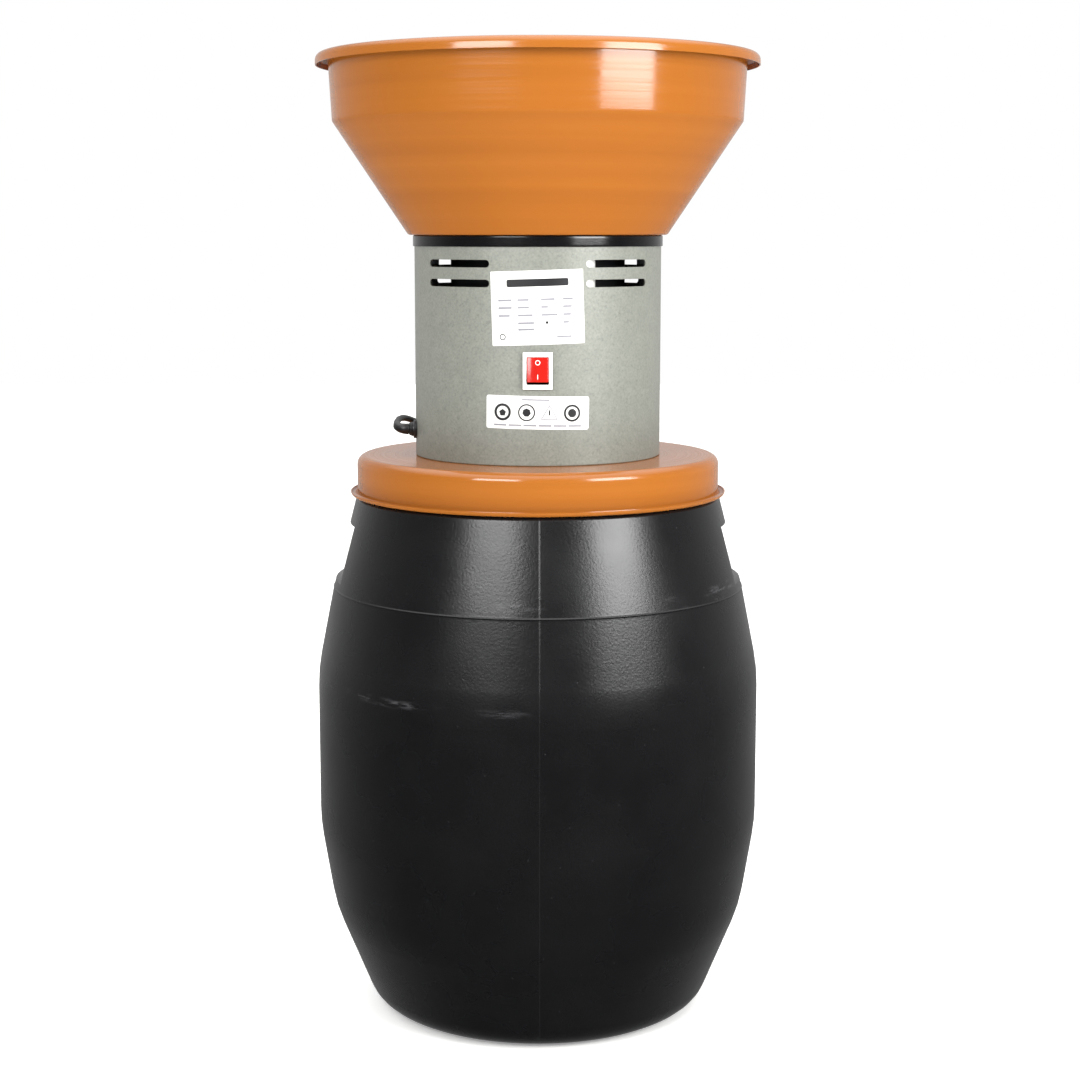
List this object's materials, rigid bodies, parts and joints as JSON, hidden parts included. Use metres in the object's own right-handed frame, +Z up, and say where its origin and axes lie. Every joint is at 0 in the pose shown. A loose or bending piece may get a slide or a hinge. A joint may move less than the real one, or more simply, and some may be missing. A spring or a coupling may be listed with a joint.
{
  "type": "electric grain mill",
  "caption": "Electric hammer mill with a round hopper and a cylindrical motor housing on a flanged lid, standing on an open-top barrel.",
  "frame": {"origin": "centre of the barrel's foot ring, on the floor", "axes": "+Z up along the mill's axis; the switch faces -Y; the cord leaves on the -X side"},
  "size_m": [0.4099, 0.4859, 0.8785],
  "materials": {
    "barrel_hdpe": "black blow-moulded polyethylene, fine grain",
    "gasket_foam": "closed-cell foam",
    "orange_paint": "glossy orange paint on spun steel",
    "hammertone_paint": "grey hammertone paint",
    "black_trim": "glossy black edge trim",
    "zinc_steel": "zinc-plated steel",
    "sheet_steel": "plain steel sheet",
    "cast_aluminium": "die-cast aluminium",
    "black_paint": "black paint",
    "lamination_steel": "stacked electrical steel",
    "copper_winding": "enamelled copper wire",
    "bearing_steel": "ground bearing steel",
    "shaft_steel": "turned steel",
    "tool_steel": "hardened steel",
    "black_plastic": "moulded black plastic",
    "white_plastic": "white moulded plastic",
    "felt": "pressed felt",
    "red_plastic": "red translucent plastic",
    "label": "white vinyl",
    "cord_rubber": "black flexible cord",
    "plated_brass": "nickel-plated brass"
  },
  "bodies": {
    "barrel": {"barrel": "barrel_hdpe"},
    "head": {"lid_gasket": "gasket_foam", "lid": "orange_paint", "housing_shell": "hammertone_paint", "housing_rivets": "zinc_steel", "edge_trim": "black_trim", "hopper": "orange_paint", "hopper_brackets": "zinc_steel", "hopper_spacers": "black_plastic", "hopper_bolts": "zinc_steel", "hopper_nuts": "zinc_steel", "feed_chute": "sheet_steel", "gate_guides": "sheet_steel", "guide_rivets": "zinc_steel", "lower_end_shield": "cast_aluminium", "motor_can": "black_paint", "stator_core": "lamination_steel", "stator_windings": "copper_winding", "upper_end_shield": "cast_aluminium", "lower_bearing": "bearing_steel", "upper_bearing": "bearing_steel", "fan_cowl": "black_paint", "cowl_screws": "zinc_steel", "motor_bolts": "zinc_steel", "capacitor": "white_plastic", "capacitor_clip": "zinc_steel", "shaft_seal": "felt", "sieve_ring": "sheet_steel", "sieve_cover": "sheet_steel", "cover_studs": "zinc_steel", "wing_nuts": "zinc_steel", "switch_frame": "white_plastic", "switch_body": "black_plastic", "cable_gland": "black_plastic", "gland_nut": "black_plastic", "supply_lead": "cord_rubber", "motor_lead": "cord_rubber", "rating_plate": "label", "safety_label": "label", "power_cord": "cord_rubber", "cord_coil": "cord_rubber", "cord_tail": "cord_rubber", "plug_body": "cord_rubber", "plug_pins": "plated_brass"},
    "gate": {"feed_gate": "sheet_steel", "gate_knob": "black_plastic"},
    "rocker": {"switch_rocker": "red_plastic"},
    "rotor": {"motor_shaft": "shaft_steel", "rotor_core": "lamination_steel", "cooling_fan": "black_plastic", "rotor_spacer": "shaft_steel", "rotor_plate": "tool_steel", "hammer_pins": "shaft_steel", "rotor_bolt": "zinc_steel"},
    "hammer_a": {"hammer_1": "tool_steel"},
    "hammer_b": {"hammer_2": "tool_steel"},
    "hammer_c": {"hammer_3": "tool_steel"},
    "hammer_d": {"hammer_4": "tool_steel"}
  },
  "joints": [
    {"name": "head_lift", "type": "slide", "parent": "barrel", "child": "head", "axis": [0, 0, 1], "range_m": [0, 0.1]},
    {"name": "gate_slide", "type": "slide", "parent": "head", "child": "gate", "axis": [0, -1, 0], "range_m": [0, 0.034]},
    {"name": "rocker_tilt", "type": "hinge", "parent": "head", "child": "rocker", "pos_m": [0, -0.1086, 0.6015], "axis": [1, 0, 0], "range_deg": [0, 16]},
    {"name": "rotor_spin", "type": "hinge", "parent": "head", "child": "rotor", "pos_m": [0, 0, 0.6], "axis": [0, 0, 1], "continuous": true},
    {"name": "hammer_a_swing", "type": "hinge", "parent": "rotor", "child": "hammer_a", "pos_m": [0.056, 0, 0.494], "axis": [0, 0, 1], "range_deg": [-70, 70]},
    {"name": "hammer_b_swing", "type": "hinge", "parent": "rotor", "child": "hammer_b", "pos_m": [0, 0.056, 0.494], "axis": [0, 0, 1], "range_deg": [-70, 70]},
    {"name": "hammer_c_swing", "type": "hinge", "parent": "rotor", "child": "hammer_c", "pos_m": [-0.056, 0, 0.494], "axis": [0, 0, 1], "range_deg": [-70, 70]},
    {"name": "hammer_d_swing", "type": "hinge", "parent": "rotor", "child": "hammer_d", "pos_m": [0, -0.056, 0.494], "axis": [0, 0, 1], "range_deg": [-70, 70]}
  ]
}
